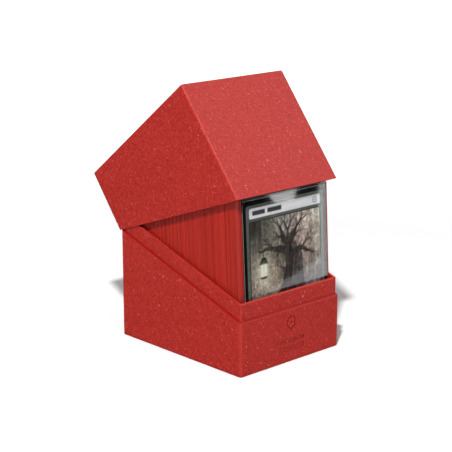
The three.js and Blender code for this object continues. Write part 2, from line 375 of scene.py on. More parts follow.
def card_stock():
    """Cut edge and back of the card stock: pale layered board with grey spots and loose fibres."""
    m, nt, b = material("card_stock")
    mm = millimetres(nt)
    fibre = noise(nt, place(nt, mm, (1 / 0.5, 1 / 0.12, 1 / 2.2)), 1.0, 3, 0.6)
    spots = noise(nt, mm, 0.7, 2)
    colour = mix(nt, ramp(nt, fibre, 0.3, 0.75), srgb(206, 203, 194), srgb(168, 166, 160))
    colour = mix(nt, ramp(nt, spots, 0.55, 0.8, 0.0, 0.3), colour, srgb(120, 118, 116))
    nt.links.new(colour, b.inputs["Base Color"])
    nt.links.new(sums(nt, "ADD", sums(nt, "MULTIPLY", fibre, 0.2), 0.6), b.inputs["Roughness"])
    bump = node(nt, "ShaderNodeBump", {"Height": fibre, "Strength": 0.5, "Distance": 0.00004})
    nt.links.new(bump.outputs[0], b.inputs["Normal"])
    return m


def print_ink():
    """The printed face: the painted picture with print grain, under a satin varnish."""
    m, nt, b = material("card_print")
    mm = millimetres(nt)
    art = node(nt, "ShaderNodeAttribute", attribute_name="picture").outputs["Color"]
    grain = noise(nt, mm, 0.28, 2)
    amount = sums(nt, "ADD", sums(nt, "MULTIPLY", grain, 0.16), 0.92)
    grey = node(nt, "ShaderNodeCombineColor", {"Red": amount, "Green": amount, "Blue": amount}).outputs[0]
    nt.links.new(mix(nt, 1.0, art, grey, "MULTIPLY"), b.inputs["Base Color"])
    nt.links.new(sums(nt, "ADD", sums(nt, "MULTIPLY", grain, 0.12), 0.34), b.inputs["Roughness"])
    b.inputs["Specular IOR Level"].default_value = 0.12
    bump = node(nt, "ShaderNodeBump", {"Height": noise(nt, mm, 0.5, 1), "Strength": 0.25, "Distance": 0.00003})
    nt.links.new(bump.outputs[0], b.inputs["Normal"])
    return m


MAT_CASE = case_plastic()
MAT_RED = red_film()
MAT_CLEAR = clear_film("sleeve_clear", 1.0, 0.12)
MAT_CORE = card_stock()
MAT_PRINT = print_ink()
MAT_BLACK = inside_film()
MAT_EDGE = film_edge()


# ------------------------------------------------------------------ base
def base_rings():
    rings = []
    rings.append((HX - 3.2, HY - 3.2, 1.0, 0, 0, 0))
    R = 0.9
    rings.append((HX - R - 0.6, HY - R - 0.6, 0.8, 0, 0, 0))
    # the bottom fillet's lower half, which faces the floor, gets painted shade: a dark line along the bottom
    for a in fillet(5):
        i = R * (1 - math.sin(a))
        rings.append((HX - i, HY - i, CORNER - i * 0.5, R * (1 - math.cos(a)), 0, -0.8 * math.cos(a)))
    rings.append((HX, HY, CORNER, R + 0.7, 0, 0))
    R = 0.4
    rings.append((HX, HY, CORNER, SHOULDER_FRONT - R - 0.7, SLOPE, 0))
    # from the shoulder's fillet across the ledge to the foot of the lip, painted shade makes the red darker
    for a in fillet(4):
        i = R * (1 - math.cos(a))
        rings.append((HX - i, HY - i, CORNER - i * 0.5, SHOULDER_FRONT - R + R * math.sin(a), SLOPE, -math.sin(a)))
    lx, ly, lr = HX - LIP_INSET, HY - LIP_INSET, 0.75
    c = 0.12
    rings.append((lx + c, ly + c, lr + c, SHOULDER_FRONT, SLOPE, -1))
    rings.append((lx + c * 0.3, ly + c * 0.3, lr, SHOULDER_FRONT + c * 0.3, SLOPE, -1))
    rings.append((lx, ly, lr, SHOULDER_FRONT + c, SLOPE, -1))
    rings.append((lx, ly, lr, SHOULDER_FRONT + 1.3, SLOPE, 0))
    R = 0.3
    top = SHOULDER_FRONT + LIP_RISE
    rings.append((lx, ly, lr, top - R - 0.6, SLOPE, 0))
    # the top of the lip, its outer and inner fillets, gets painted highlight, most halfway round
    for a in fillet(4):
        i = R * (1 - math.cos(a))
        rings.append((lx - i, ly - i, lr - i * 0.5, top - R + R * math.sin(a), SLOPE, 0.5 + 0.5 * math.sin(2 * a)))
    bx, by, br = lx - LIP_WALL, ly - LIP_WALL, 0.6
    for a in fillet(4):
        i = R * (1 - math.sin(a))
        rings.append((bx + i, by + i, br + i * 0.5, top - R * (1 - math.cos(a)), SLOPE, 0.5 + 0.5 * math.sin(2 * a)))
    rings.append((bx, by, br, top - R - 0.6, SLOPE, 0))
    R = 0.25
    for a in fillet(3):
        i = R * (1 - math.cos(a))
        rings.append((bx - i, by - i, br, FLOOR - 0.02 + R - R * math.sin(a), 0, 0))
    rings.append((bx - 3, by - 3, br, FLOOR - 0.02, 0, 0))
    return rings


verts, faces, edge = skin(base_rings())
base = new_object("base_shell", verts, faces, mats=[MAT_CASE], point_data={"edge": edge})


def recess(name, loops, depth, draft=0.05):
    """A cutter for the front face, a ring or a plug, that narrows a little as it goes in. loops are (x, z) outlines, the outer one first."""
    verts, faces = [], []
    for k, loop in enumerate(loops):
        n = len(loop)
        cx = sum(p[0] for p in loop) / n
        cz = sum(p[1] for p in loop) / n
        start = len(verts)
        for y, d in ((-HY - 0.5, draft * 2.4), (-HY + depth, 0)):
            for x, z in loop:
                r = max(math.hypot(x - cx, z - cz), 1e-6)
                g = 1 + (d if k == 0 else -d) / r
                verts.append((cx + (x - cx) * g, y, cz + (z - cz) * g))
        for i in range(n):
            j = (i + 1) % n
            f = (start + i, start + j, start + j + n, start + i + n)
            faces.append(f if k == 0 else tuple(reversed(f)))
    if len(loops) == 1:
        n = len(loops[0])
        faces += [tuple(reversed(range(n))), tuple(range(n, 2 * n))]
    else:
        n = len(loops[0])
        for s, flip in ((0, True), (n, False)):
            for i in range(n):
                j = (i + 1) % n
                f = (s + i, s + j, 2 * n + s + j, 2 * n + s + i)
                faces.append(tuple(reversed(f)) if flip else f)
    return new_object(name, verts, faces)


def hexagon(r):
    """Six sides with rounded corners, taller than wide, about the mark's centre."""
    pts = []
    for i in range(6):
        for t in (-9, 0, 9):
            a = math.radians(30 + 60 * i + t)
            k = r * math.cos(math.radians(30)) / math.cos(math.radians(30 - abs(t)))
            pts.append((k * math.cos(a), 22.5 + 1.25 * k * math.sin(a)))
    return pts


def slot_shape(hw, z0, z1):
    r = (z1 - z0) / 2 * 0.8
    pts = []
    for k, (cx, cz) in enumerate([(hw - r, z1 - r), (-hw + r, z1 - r), (-hw + r, z0 + r), (hw - r, z0 + r)]):
        for i in range(5):
            a = (k + i / 4) * math.pi / 2
            pts.append((cx + r * math.cos(a), cz + r * math.sin(a)))
    return pts


for loops in ([hexagon(3.6), hexagon(2.7)], [hexagon(1.0)], [slot_shape(10.2, 11.2, 13.6)], [slot_shape(10.2, 6.4, 9.2)]):
    cutter = recess("cutter", loops, MARK_DEPTH)
    bm = bmesh.new()
    bm.from_mesh(cutter.data)
    bmesh.ops.recalc_face_normals(bm, faces=bm.faces)
    bm.to_mesh(cutter.data)
    bm.free()
    cut = base.modifiers.new("mark", "BOOLEAN")
    cut.operation, cut.solver, cut.object = "DIFFERENCE", "EXACT", cutter
    apply_modifiers(base)
    bpy.data.objects.remove(cutter)
base.data.polygons.foreach_set("use_smooth", [True] * len(base.data.polygons))
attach(base, "base")
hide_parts("base_box")
weighted(base)


# ------------------------------------------------------------------ lid
def lid_rings():
    rings = []
    cx, cy, cr = HX - LID_WALL, HY - LID_WALL, 0.5
    rim = SHOULDER_FRONT + SEAT_GAP
    R = 0.4
    rings.append((cx - 3, cy - 3, cr, HEIGHT - LID_TOP, 0, 0))
    for a in fillet(4):
        i = R * (1 - math.sin(a))
        rings.append((cx - i, cy - i, cr, HEIGHT - LID_TOP - R * (1 - math.cos(a)), 0, 0))
    R = 0.2
    rings.append((cx, cy, cr, rim + R + 0.6, SLOPE, 0))
    # the rim's inner and outer fillets get painted highlight
    for a in fillet(3):
        i = R * (1 - math.cos(a))
        rings.append((cx + i, cy + i, cr + i * 0.5, rim + R - R * math.sin(a), SLOPE, 0.5))
    R = 0.3
    for a in fillet(4):
        i = R * (1 - math.sin(a))
        rings.append((HX - i, HY - i, CORNER - i * 0.5, rim + R * (1 - math.cos(a)), SLOPE, 0.4 + 0.6 * math.sin(2 * a)))
    rings.append((HX, HY, CORNER, rim + R + 0.7, SLOPE, 0))
    R = 0.7
    rings.append((HX, HY, CORNER, HEIGHT - R - 0.7, 0, 0))
    # the top edge's fillet gets painted highlight, most halfway round
    for a in fillet(5):
        i = R * (1 - math.cos(a))
        rings.append((HX - i, HY - i, CORNER - i * 0.5, HEIGHT - R + R * math.sin(a), 0, 0.2 + 0.8 * math.sin(2 * a)))
    rings.append((HX - R - 0.6, HY - R - 0.6, 0.8, HEIGHT, 0, 0))
    rings.append((HX - 3.2, HY - 3.2, 1.0, HEIGHT, 0, 0))
    return rings


verts, faces, edge = skin(lid_rings())
lid = new_object("lid_shell", verts, faces, mats=[MAT_CASE], point_data={"edge": edge})
turn = Matrix.Translation(PIVOT * MM) @ Matrix.Rotation(-math.radians(LID_ANGLE), 4, "X") @ Matrix.Translation(-PIVOT * MM)
lid.data.transform(turn)
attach(lid, "lid")
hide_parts("lid_cap")
weighted(lid)

# ------------------------------------------------------------------ deck
rng = np.random.default_rng(11)


def leaned(x, y, z):
    return (x, y + LEAN * z, FOOT + z)


def sleeved_card(verts, faces, fmats, tones, x0, y0, t, h, weld_y, wobble, tone):
    """One sleeved card: side seams a little thinner than its middle, open at the top, the card's edge inside."""
    hw = SLEEVE_W / 2
    s = 1.0
    c = t / 2 + weld_y
    w = 0.22
    ring = [(-hw, c - w), (-hw + s, 0.01), (hw - s, 0.01), (hw, c - w), (hw, c + w), (hw - s, t - 0.01), (-hw + s, t - 0.01), (-hw, c + w)]
    zs = [0, 0.9, 12, 26, 40, 54, 68, 80, h - 0.8, h]
    start = len(verts)
    n = len(ring)
    for k, z in enumerate(zs):
        squeeze = 0.3 if k == 0 else 1.0
        for x, y in ring:
            verts.append(leaned(x0 + x + wobble[k], y0 + c + (y - c) * squeeze, z))
    for k in range(len(zs) - 1):
        for i in range(n):
            j = (i + 1) % n
            a, b = start + k * n + i, start + k * n + j
            faces.append((a, b, b + n, a + n))
            fmats.append(0)
            tones.append(tone * (1.0 if i in (3, 7) else 0.97 if i in (0, 1, 2) else 1.03))
    faces.append(tuple(start + i for i in reversed(range(n))))
    fmats.append(0)
    tones.append(tone)
    # film edge, then down inside to the card's own edge
    top = start + (len(zs) - 1) * n
    f = 0.07
    inner = [(-hw + 0.3, c - 0.04), (-hw + s, 0.01 + f), (hw - s, 0.01 + f), (hw - 0.3, c - 0.04), (hw - 0.3, c + 0.04), (hw - s, t - 0.01 - f), (-hw + s, t - 0.01 - f), (-hw + 0.3, c + 0.04)]
    a0 = len(verts)
    for x, y in inner:
        verts.append(leaned(x0 + x + wobble[-1], y0 + y, h))
    for i in range(n):
        j = (i + 1) % n
        faces.append((top + i, top + j, a0 + j, a0 + i))
        fmats.append(2 if i in (0, 1, 2) else 0)
        tones.append(tone * 1.15)
    b0 = len(verts)
    for x, y in inner:
        verts.append(leaned(x0 + x * 0.97 + wobble[-1], y0 + c + (y - c) * 0.8, h - 1.6))
    for i in range(n):
        j = (i + 1) % n
        faces.append((a0 + i, a0 + j, b0 + j, b0 + i))
        fmats.append(2 if i in (0, 1, 2) else 3)
        tones.append(tone * 0.9)
    faces.append(tuple(b0 + i for i in range(n)))
    fmats.append(1)
    tones.append(1.0)


def deck_piece(name, verts, faces, mats, fmats, tones):
    o = new_object(name, verts, faces, mats=mats, face_mats=fmats, smooth=False)
    o.data.attributes.new("tone", "FLOAT", "FACE").data.foreach_set("value", tones)
    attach(o, "deck")
    return o


for name in PACKETS:
    lo, hi = [Vector(v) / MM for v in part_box(name)]
    xc = (lo.x + hi.x) / 2
    h = hi.z - lo.z
    verts, faces, fmats, tones = [], [], [], []
    for j in range(3):
        drift = rng.normal(0, 0.05, 10).cumsum()
        drift = (drift - drift.mean()) * 0.15
        x = xc + float(np.clip(rng.normal(0, 0.05), -0.15, 0.15))
        tone = float(np.clip(rng.normal(1, 0.10), 0.78, 1.22))
        sleeved_card(verts, faces, fmats, tones, x, lo.y + j * 0.66, 0.66, h - abs(rng.normal(0, 0.12)), float(rng.uniform(-0.1, 0.1)), drift, tone)
    o = deck_piece("cards_" + name[-2:], verts, faces, [MAT_RED, MAT_CORE, MAT_EDGE, MAT_BLACK], fmats, tones)
    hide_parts(name)


# ------------------------------------------------------------------ front card and its two sleeves
def front(x, y, z):
    return (DECK_X + x, DECK_Y + y + LEAN * z, FOOT + z)


def tube(outer, inner, levels, closed_at, cap):
    """A flat sleeve: outer and inner loops of (x, y), levels of z from its closed end to its open end, and the z where the inside begins."""
    verts, faces, kinds = [], [], []
    n = len(outer)
    for z in levels:
        verts += [(x, y, z) for x, y in outer]
    for k in range(len(levels) - 1):
        for i in range(n):
            j = (i + 1) % n
            a, b = k * n + i, k * n + j
            faces.append((a, b, b + n, a + n))
            kinds.append(("out", i))
    faces.append(tuple(reversed(range(n))))
    kinds.append(("end", 0))
    top = (len(levels) - 1) * n
    a0 = len(verts)
    inside = [z for z in reversed(levels) if (z - closed_at) * (levels[-1] - levels[0]) > 0] + [closed_at]
    for z in inside:
        verts += [(x, y, z) for x, y in inner]
    for i in range(n):
        j = (i + 1) % n
        faces.append((top + i, top + j, a0 + j, a0 + i))
        kinds.append(("rim", i))
    for k in range(len(inside) - 1):
        for i in range(n):
            j = (i + 1) % n
            a, b = a0 + k * n + i, a0 + k * n + j
            faces.append((a, b, b + n, a + n))
            kinds.append(("in", i))
    b0 = a0 + (len(inside) - 1) * n
    faces.append(tuple(b0 + i for i in range(n)))
    kinds.append(("end", 0))
    return verts, faces, kinds


def sleeve_loops(hw, t, film, seam, flat):
    """Outer and inner loops of a flat sleeve's section. Film by film, the front goes left to right and the back returns."""
    c = t / 2
    outer = [(-hw, c - flat), (-hw + seam, c - flat), (-hw + seam + 0.35, 0.0), (hw - seam - 0.35, 0.0), (hw - seam, c - flat), (hw, c - flat),
             (hw, c + flat), (hw - seam, c + flat), (hw - seam - 0.35, t), (-hw + seam + 0.35, t), (-hw + seam, c + flat), (-hw, c + flat)]
    e = 0.02
    inner = [(-hw + seam + 0.02, c - e), (-hw + seam + 0.08, c - 2 * e), (-hw + seam + 0.40, film), (hw - seam - 0.40, film), (hw - seam - 0.08, c - 2 * e), (hw - seam - 0.02, c - e),
             (hw - seam - 0.02, c + e), (hw - seam - 0.08, c + 2 * e), (hw - seam - 0.40, t - film), (-hw + seam + 0.40, t - film), (-hw + seam - 0.0 + 0.08, c + 2 * e), (-hw + seam + 0.02, c + e)]
    return outer, inner


# the outer sleeve: clear front film, red back film, opens upwards
outer_loop, inner_loop = sleeve_loops(SLEEVE_W / 2, FRONT_T, 0.08, 0.6, 0.08)
levels = [0.0, 0.5, 1.2] + list(np.linspace(6, SLEEVE_H - 1.2, 12)) + [SLEEVE_H - 0.4, SLEEVE_H]
v, faces, kinds = tube(outer_loop, inner_loop, levels, 0.9, None)
squash_foot = {0.0: 0.25, 0.5: 0.5}
verts = []
for x, y, z in v:
    s = squash_foot.get(z, 1.0)
    verts.append(front(x, FRONT_T / 2 + (y - FRONT_T / 2) * s, z))
fmats, tones = [], []
for (kind, i) in kinds:
    if kind in ("out", "in", "rim") and i in (1, 2, 3):
        fmats.append(1)
    elif kind == "in" and i in (7, 8, 9):
        fmats.append(2)
    else:
        fmats.append(0)
    tones.append(0.92 if kind != "rim" else 1.1)
outer_sleeve = deck_piece("outer_sleeve", verts, faces, [MAT_RED, MAT_CLEAR, MAT_BLACK], fmats, tones)
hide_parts("front_outer_sleeve")

# the inner sleeve: clear all round, welded at the top, opens downwards
IN_W, IN_Z0, IN_Z1, IN_Y0, IN_Y1 = 64.0, 0.95, 90.0, 0.11, 0.61
outer_loop, inner_loop = sleeve_loops(IN_W / 2, IN_Y1 - IN_Y0, 0.05, 0.2, 0.05)
levels = [IN_Z1, IN_Z1 - 0.5] + list(np.linspace(IN_Z1 - 4, IN_Z0 + 3, 11)) + [IN_Z0]
v, faces, kinds = tube(outer_loop, inner_loop, levels, IN_Z1 - 0.45, None)
verts = [front(x, IN_Y0 + (IN_Y1 - IN_Y0) / 2 + (y - (IN_Y1 - IN_Y0) / 2) * (0.3 if z == IN_Z1 else 1.0), z) for x, y, z in v]
faces = [tuple(reversed(f)) for f in faces]
inner_sleeve = deck_piece("inner_sleeve", verts, faces, [MAT_CLEAR], [0] * len(faces), [1.0] * len(faces))
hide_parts("front_inner_sleeve")


# ------------------------------------------------------------------ the picture printed on the front card
# Painted here from shapes and noise: a bare old tree in mist beside a lane, with a lantern hung from a branch.
STEP = 0.15
PX0, PX1, PZ0, PZ1 = -31.5, 31.5, 1.5, 89.5
GX = np.arange(PX0, PX1 + STEP / 2, STEP)
GZ = np.arange(PZ0, PZ1 + STEP / 2, STEP)
XX, ZZ = np.meshgrid(GX, GZ)
brush = np.random.default_rng(5)


def lin(r, g, b):
    return np.array(srgb(r, g, b)[:3])


def blur(a, size):
    """Gaussian blur by size millimetres."""
    s = size / STEP
    k = int(3 * s) + 1
    w = np.exp(-0.5 * (np.arange(-k, k + 1) / s) ** 2)
    w /= w.sum()
    a = np.pad(a, ((k, k), (k, k)), mode="edge")
    a = np.apply_along_axis(lambda r: np.convolve(r, w, mode="valid"), 1, a)
    return np.apply_along_axis(lambda r: np.convolve(r, w, mode="valid"), 0, a)


def field(sx, sz):
    """Smooth noise of about unit spread with grains sx wide and sz tall, in millimetres."""
    nx, nz = int((PX1 - PX0) / sx) + 4, int((PZ1 - PZ0) / sz) + 4
    g = brush.normal(0, 1, (nz, nx))
    u = (XX - PX0) / sx + 0.5
    v = (ZZ - PZ0) / sz + 0.5
    i, j = u.astype(int), v.astype(int)
    fu, fv = u - i, v - j
    fu, fv = fu * fu * (3 - 2 * fu), fv * fv * (3 - 2 * fv)
    return (g[j, i] * (1 - fu) + g[j, i + 1] * fu) * (1 - fv) + (g[j + 1, i] * (1 - fu) + g[j + 1, i + 1] * fu) * fv


def inside(points):
    """1 inside a closed outline, even-odd."""
    m = np.zeros(XX.shape, bool)
    for (x0, z0), (x1, z1) in zip(points, points[1:] + points[:1]):
        if z0 == z1:
            continue
        hit = ((ZZ >= min(z0, z1)) & (ZZ < max(z0, z1))) & (XX < x0 + (ZZ - z0) * (x1 - x0) / (z1 - z0))
        m ^= hit
    return m.astype(float)


def panel(x0, x1, z0, z1, r):
    """1 inside a rectangle with rounded corners, with a soft rim one step wide."""
    dx = np.maximum(np.abs(XX - (x0 + x1) / 2) - (x1 - x0) / 2 + r, 0)
    dz = np.maximum(np.abs(ZZ - (z0 + z1) / 2) - (z1 - z0) / 2 + r, 0)
    return np.clip((r - np.hypot(dx, dz)) / STEP + 0.5, 0, 1)


def stroke(points, soft=0.12):
    """1 along a bent line of (x, z, half width) points."""
    m = np.zeros(XX.shape)
    for (x0, z0, r0), (x1, z1, r1) in zip(points, points[1:]):
        lx, lz = x1 - x0, z1 - z0
        t = np.clip(((XX - x0) * lx + (ZZ - z0) * lz) / (lx * lx + lz * lz), 0, 1)
        d = np.hypot(XX - x0 - t * lx, ZZ - z0 - t * lz) - (r0 + t * (r1 - r0))
        m = np.maximum(m, np.clip(0.5 - d / (2 * soft), 0, 1))
    return m


def lay(colour, mask, strength=1.0):
    """Paints a colour, or a field of colours, through a mask."""
    global ink
    a = np.clip(mask * strength, 0, 1)[..., None]
    ink = ink * (1 - a) + np.asarray(colour) * a


# the border, the frame and the panels
ink = np.ones(XX.shape + (3,)) * lin(15, 13, 12)
frame_grain = field(1.1, 1.1) * 0.5 + field(4, 4) * 0.5
lay(lin(98, 104, 96)[None, None] * (1 + 0.10 * frame_grain)[..., None], panel(-29.2, 29.4, 4.2, 86.9, 1.6))
lay(lin(128, 138, 131), panel(-29.2, 29.4, 4.2, 86.9, 1.6) - panel(-28.8, 29.0, 4.6, 86.5, 1.4), 0.55)
lay(lin(46, 50, 48), panel(-27.2, 27.5, 79.2, 85.6, 1.1), 0.8)
lay(lin(233, 233, 235)[None, None] * (1 + 0.03 * field(9, 2))[..., None], panel(-26.9, 27.2, 79.7, 85.3, 0.9))
for x0, x1 in ((-24.6, -15.2), (-13.4, -2.8)):
    lay(lin(26, 28, 36), panel(x0, x1, 81.3, 83.8, 0.35), 0.95)
lay(lin(118, 120, 124), panel(21.1, 24.7, 80.7, 84.3, 1.8) - panel(21.6, 24.2, 81.2, 83.8, 1.3), 0.9)
lay(lin(118, 120, 124), panel(22.4, 23.4, 82.0, 83.0, 0.5), 0.9)

# the lower panel, with plain rules where a rule text would be
lay(lin(46, 50, 48), panel(-27.2, 27.5, 6.4, 31.6, 1.1), 0.8)
lay(lin(186, 186, 180)[None, None] * (1 + 0.04 * field(7, 5))[..., None], panel(-26.8, 27.1, 6.8, 31.2, 0.9))
for k, (x1) in enumerate((21.5, 17.0, 22.3, 6.0, 19.5, 12.0)):
    z = 27.4 - 3.3 * k - (1.2 if k > 3 else 0)
    lay(lin(96, 96, 98), panel(-23.5, x1, z - 0.45, z + 0.45, 0.3), 0.75)

# the picture
window = panel(-26.7, 26.6, 34.0, 77.7, 0.9)
lay(lin(30, 32, 30), panel(-27.3, 27.2, 33.4, 78.3, 1.2), 0.9)
spots = [
    (-25, 76, 30, 28, 26), (-24, 64, 74, 72, 66), (-22, 54, 92, 88, 78), (-15, 72, 70, 70, 64), (-13, 62, 88, 85, 74), (-6, 75, 120, 118, 108),
    (-9, 68, 96, 92, 82), (-6, 58, 84, 78, 66), (0, 77, 150, 147, 140), (1, 66, 128, 118, 108), (7, 75, 130, 118, 114), (10, 66, 146, 128, 120),
    (13, 74, 196, 178, 164), (15, 62, 140, 124, 116), (17, 52, 128, 112, 104), (20, 74, 178, 168, 156), (21, 64, 138, 124, 112), (25, 75, 172, 170, 156),
    (25, 62, 156, 152, 140), (25, 48, 134, 128, 122), (12, 44, 112, 104, 102), (2, 50, 96, 86, 80), (3, 38, 100, 92, 88), (-8, 44, 124, 112, 96),
    (-20, 44, 138, 126, 114), (-24, 36, 122, 110, 100), (-14, 37, 142, 130, 118), (20, 38, 108, 104, 104),
]
total = np.zeros(XX.shape)
back = np.zeros(XX.shape + (3,))
for x, z, *c in spots:
    w = np.exp(-((XX - x) ** 2 / 18 + (ZZ - z) ** 2 / 30)) + 1e-5
    total += w
    back += w[..., None] * lin(*c)
back /= total[..., None]
drape = 0.22 * field(1.5, 17) + 0.14 * field(0.7, 9) + 0.12 * field(3.2, 5) + 0.07 * field(0.6, 0.8)
back *= np.exp(drape)[..., None]
lay(back, window)

# tall posts of a ruined arcade fading in the mist, right and left
for x, hw, z0, z1, c, s in ((19.2, 1.5, 44, 78, (84, 72, 64), 0.40), (22.8, 0.8, 50, 78, (168, 150, 134), 0.45), (14.2, 1.0, 58, 78, (206, 186, 168), 0.50),
                            (-7.6, 0.9, 60, 78, (142, 138, 126), 0.45), (-19.4, 1.6, 58, 78, (28, 28, 25), 0.60), (-11.4, 0.7, 64, 78, (120, 117, 104), 0.35)):
    lay(lin(*c), blur(inside([(x - hw, z0), (x + hw, z0), (x + hw * 0.8, z1), (x - hw * 0.8, z1)]), 0.5) * window, s)

# the lane: low stones in rows, lower left, with lit tops
for row in range(9):
    z = 34.6 + row * 1.55
    for col in range(13):
        x = -26 + col * 2.5 + (row % 2) * 1.2 + brush.normal(0, 0.25)
        if x > 4 - row * 1.6:
            continue
        rx, rz = 1.05 + brush.uniform(-0.2, 0.15), 0.62 + brush.uniform(-0.12, 0.1)
        d = ((XX - x) / rx) ** 2 + ((ZZ - z) / rz) ** 2
        shade = brush.uniform(0.75, 1.15)
        lay(lin(40, 36, 33), np.clip(1.5 - d, 0, 1) * window, 0.55)
        lay(np.clip(lin(152, 139, 126) * shade, 0, 1), np.clip(1.15 - d - 0.5 * (z - ZZ) / rz, 0, 1) * window, 0.55)

# lantern light on the mist
glow = np.exp(-(((XX + 17.2) / 7.5) ** 2 + ((ZZ - 50) / 9.5) ** 2))
lay(lin(200, 194, 172), glow * window, 0.42)

# a broken stone pier behind the tree
pier = inside([(2.5, 33), (14.2, 33), (13.0, 44), (12.2, 53), (10.8, 60.5), (8.6, 58.8), (7.2, 62.8), (4.8, 61.2), (3.4, 64.4), (2.0, 62)]) * window
lay(lin(46, 43, 46)[None, None] * np.exp(0.25 * field(1.4, 1.8) + 0.2 * field(3.5, 6))[..., None], blur(pier, 0.15), 0.93)
for z in np.arange(36.5, 62, 3.4):
    lay(lin(22, 21, 23), stroke([(2.5, z + 0.3, 0.12), (14, z - 0.2, 0.12)], 0.15) * pier, 0.6)
    lay(lin(92, 86, 86), stroke([(3.5, z - 0.5, 0.10), (13, z - 0.9, 0.10)], 0.2) * pier * np.clip(field(1.5, 1.5), 0, 1), 0.6)
for k, (x, z) in enumerate(((6.2, 36.5), (10.6, 36.5), (4.6, 39.9), (9.0, 39.9), (6.6, 43.3), (11.2, 43.3), (4.8, 46.7), (9.4, 46.7), (7.2, 50.1), (11.0, 50.1), (9.0, 53.5), (6.6, 56.9))):
    lay(lin(22, 21, 23), stroke([(x, z, 0.12), (x + 0.1, z + 3.2, 0.12)], 0.15) * pier, 0.6)

# the tree: a trunk that leans, roots, limbs that fork into thin bare twigs, then bark
tree = np.zeros(XX.shape)


def limb(x, z, heading, length, width, depth):
    """One limb with a bend in it, and the limbs that fork from it."""
    global tree
    bend = brush.uniform(-0.35, 0.35)
    xm, zm = x + math.cos(heading) * length * 0.5, z + math.sin(heading) * length * 0.5
    xe, ze = xm + math.cos(heading + bend) * length * 0.5, zm + math.sin(heading + bend) * length * 0.5
    tree = np.maximum(tree, stroke([(x, z, width), (xm, zm, width * 0.82), (xe, ze, width * 0.6)], 0.16))
    if depth == 0:
        return
    limb(xe, ze, heading + bend + brush.uniform(0.25, 0.60), length * brush.uniform(0.62, 0.80), width * 0.56, depth - 1)
    limb(xe, ze, heading + bend - brush.uniform(0.25, 0.60), length * brush.uniform(0.62, 0.80), width * 0.56, depth - 1)
    if depth > 1:
        side = 1 if brush.uniform() > 0.5 else -1
        limb(xm, zm, heading + side * brush.uniform(0.6, 1.0), length * 0.55, width * 0.42, depth - 2)


for s in (
    [(1.6, 33, 5.6), (0.8, 38, 4.4), (1.4, 45, 3.8), (2.6, 52, 3.5), (2.2, 58, 3.3), (1.0, 62, 3.0)],
    [(-8.6, 33, 1.2), (-5.0, 35.4, 1.7), (-1.6, 40, 1.8)],
    [(10.4, 33, 1.1), (7.0, 35.0, 1.7), (3.6, 39.5, 2.0)],
    [(-1.6, 33, 2.4), (0.2, 38, 2.2)],
    [(1.6, 57, 2.9), (-4.0, 59.8, 2.0), (-9.6, 60.4, 1.5), (-14.6, 61.6, 1.0), (-18.8, 60.6, 0.6), (-22.4, 61.6, 0.3)],
    [(1.2, 60, 2.8), (-2.0, 65.4, 1.9), (-3.4, 69.0, 1.4)],
    [(1.4, 60, 2.8), (4.8, 64.8, 2.1), (7.0, 68.2, 1.5)],
    [(2.6, 54, 2.6), (8.0, 57.0, 1.8), (12.4, 57.6, 1.4), (16.0, 55.4, 1.0)],
):
    tree = np.maximum(tree, stroke(s, 0.2))
for x, z, heading, length, width, depth in (
    (-3.4, 69.0, 1.95, 5.2, 1.1, 4), (7.0, 68.2, 0.95, 5.4, 1.1, 4), (1.0, 62.0, 1.45, 7.0, 1.5, 4), (16.0, 55.4, -0.25, 4.6, 0.8, 3),
    (-9.6, 60.4, 2.35, 4.2, 0.8, 3), (-14.6, 61.6, 1.75, 3.6, 0.6, 3), (12.4, 57.6, 0.95, 4.6, 0.8, 3), (8.0, 57.0, -0.9, 4.2, 0.7, 2),
    (-4.0, 59.8, 4.1, 4.0, 0.7, 2), (-2.0, 65.4, 2.75, 4.4, 0.8, 3), (4.8, 64.8, 0.3, 4.6, 0.8, 3), (0.6, 47.0, 2.75, 4.6, 0.6, 2),
):
    limb(x, z, heading, length, width, depth)
bark = np.clip(0.5 + 0.35 * field(0.7, 4.5) + 0.25 * field(1.6, 2.2), 0, 1)[..., None]
lay(lin(9, 9, 9) * (1 - bark) + lin(52, 46, 43) * bark, tree * window, 0.97)
rim_light = np.clip(tree - np.roll(tree, 4, axis=1), 0, 1) * np.clip(0.4 + 0.6 * field(1.2, 3.0), 0, 1)
lay(lin(150, 140, 118), rim_light * (XX < 1) * window, 0.5)
lay(lin(132, 118, 116), np.clip(tree - np.roll(tree, -4, axis=1), 0, 1) * (XX > 1) * window, 0.35)

# brush strokes, and the haze over the whole picture
strokes = np.exp(0.24 * field(0.9, 1.7) + 0.17 * field(0.5, 0.8) + 0.14 * field(2.2, 0.9))
ink = ink * (1 + window * (1.46 * strokes - 1))[..., None]
lay(lin(186, 172, 160), window, 0.045)

# the lantern: chain, cap, glass with the flame's light, and foot
lay(lin(236, 230, 206), np.exp(-(((XX + 17.3) / 4.6) ** 2 + ((ZZ - 50.0) / 5.8) ** 2)) * window, 0.40)
lay(lin(24, 23, 20), stroke([(-17.3, 60.6, 0.22), (-17.3, 57.0, 0.22)], 0.1) * window)
lay(lin(20, 19, 17), inside([(-20.6, 53.6), (-14.0, 53.6), (-15.9, 57.4), (-18.7, 57.4)]) * window, 0.95)
glass = inside([(-20.0, 53.6), (-14.6, 53.6), (-15.0, 46.8), (-19.6, 46.8)])
lay(lin(242, 238, 214), blur(glass, 0.2) * window, 0.97)
lay(lin(254, 252, 238), np.exp(-(((XX + 17.3) / 2.1) ** 2 + ((ZZ - 50.0) / 3.0) ** 2)) * window, 1.0)
for x in (-19.7, -17.3, -14.9):
    lay(lin(70, 64, 46), stroke([(x, 53.6, 0.12), (x * 0.985 - 0.26, 46.8, 0.12)], 0.1) * window, 0.5)
lay(lin(24, 23, 20), inside([(-20.1, 46.8), (-14.5, 46.8), (-15.4, 45.6), (-19.2, 45.6)]) * window, 0.92)

